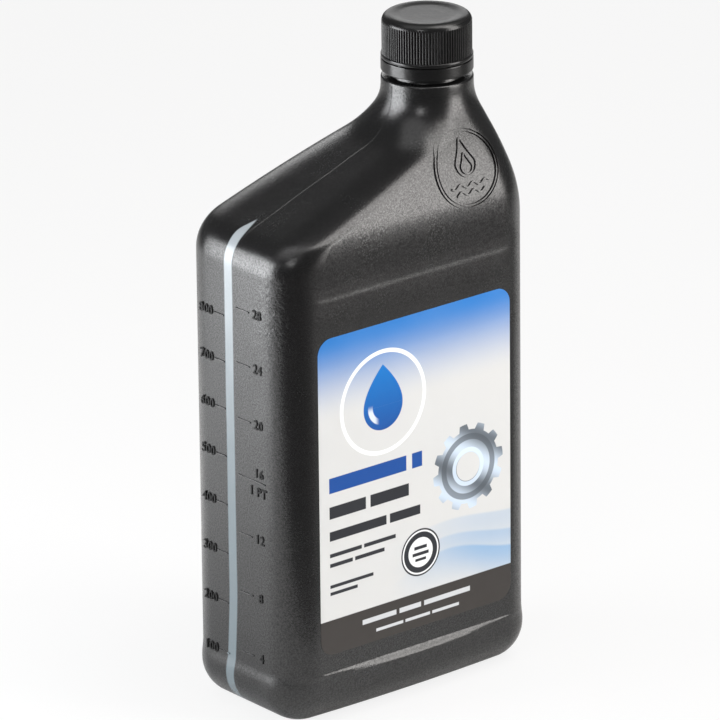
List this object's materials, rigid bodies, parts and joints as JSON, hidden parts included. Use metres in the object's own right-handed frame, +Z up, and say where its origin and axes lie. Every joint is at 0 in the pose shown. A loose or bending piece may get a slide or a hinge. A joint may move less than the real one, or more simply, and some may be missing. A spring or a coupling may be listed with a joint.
{
  "type": "motor oil bottle",
  "caption": "Flat blow-moulded oil bottle with an offset neck, ribbed screw cap, tamper band, level stripe and front label.",
  "frame": {"origin": "middle of the base, on the surface the bottle stands on", "axes": "+Z up along the neck, +X towards the side with the neck, -Y out of the face with the label"},
  "size_m": [0.111, 0.0606, 0.2337],
  "materials": {
    "bottle_plastic": "satin black blown polyethylene with a fine grain",
    "cap_plastic": "satin black moulded polypropylene",
    "liner_foam": "white foamed sealing disc",
    "label_film": "printed film, soft gloss"
  },
  "bodies": {
    "bottle": {"bottle": "bottle_plastic", "tamper_band": "cap_plastic", "front_label": "label_film"},
    "liner": {"cap_liner": "liner_foam"},
    "cap": {"cap": "cap_plastic"}
  },
  "joints": [
    {"name": "cap_lift", "type": "slide", "parent": "bottle", "child": "liner", "axis": [0, 0, 1], "range_m": [0, 0.0064]},
    {"name": "cap_turn", "type": "hinge", "parent": "liner", "child": "cap", "pos_m": [0.0308, 0, 0.2324], "axis": [0, 0, 1], "range_deg": [0, 540]}
  ],
  "couplings": [
    {"joint": "cap_lift", "follows": "cap_turn", "m_per_rad": 0.00067376}
  ]
}
